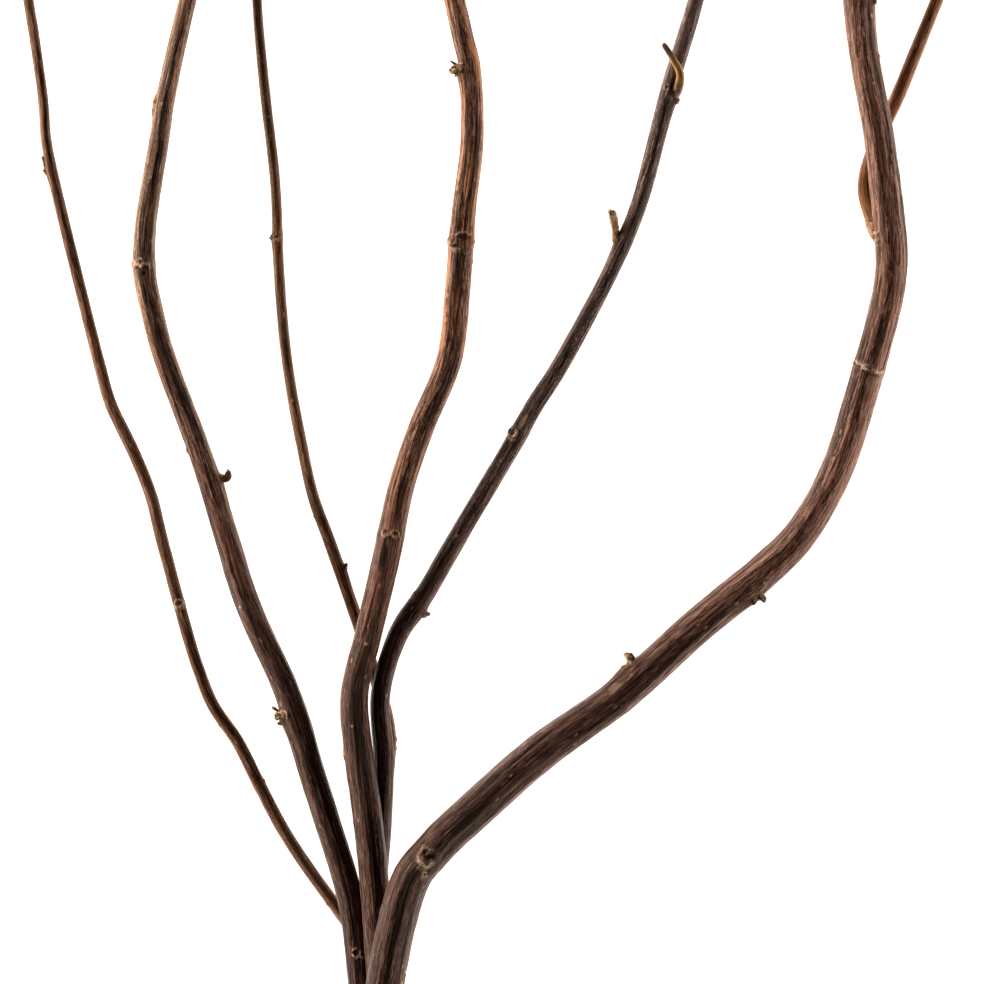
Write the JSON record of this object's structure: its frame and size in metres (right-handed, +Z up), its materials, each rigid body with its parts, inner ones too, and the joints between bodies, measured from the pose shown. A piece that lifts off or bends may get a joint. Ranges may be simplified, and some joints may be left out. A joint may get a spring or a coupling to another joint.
{
  "type": "bunch of willow stems",
  "caption": "Loose bunch of cut curly willow stems, thick to slender, with side shoots, buds, knots and twig stubs, laid flat with crossed butts.",
  "frame": {"origin": "on the surface that the bunch lies on, under the middle of the bunch", "axes": "+Z up from the surface; the stems run along Y, with the cut butts towards -Y and the thin tips towards +Y; +X to the right seen from above with the tips pointing away"},
  "size_m": [0.3324, 0.7173, 0.0299],
  "materials": {
    "dark_bark": "rough ridged bark, near-black brown with tan ridges",
    "red_brown_bark": "rough ridged bark, reddish brown with pinkish tan ridges",
    "olive_bark": "finely ridged bark, dark brown with an olive yellow upper side",
    "orange_bark": "rough ridged bark, warm orange brown",
    "grey_bark": "rough ridged bark, grey brown"
  },
  "bodies": {
    "root": {"forked_stem": "dark_bark", "left_stem": "red_brown_bark", "left_slender_stem": "olive_bark", "middle_slender_stem": "olive_bark", "middle_stem": "orange_bark", "grey_stem": "grey_bark"}
  },
  "joints": []
}
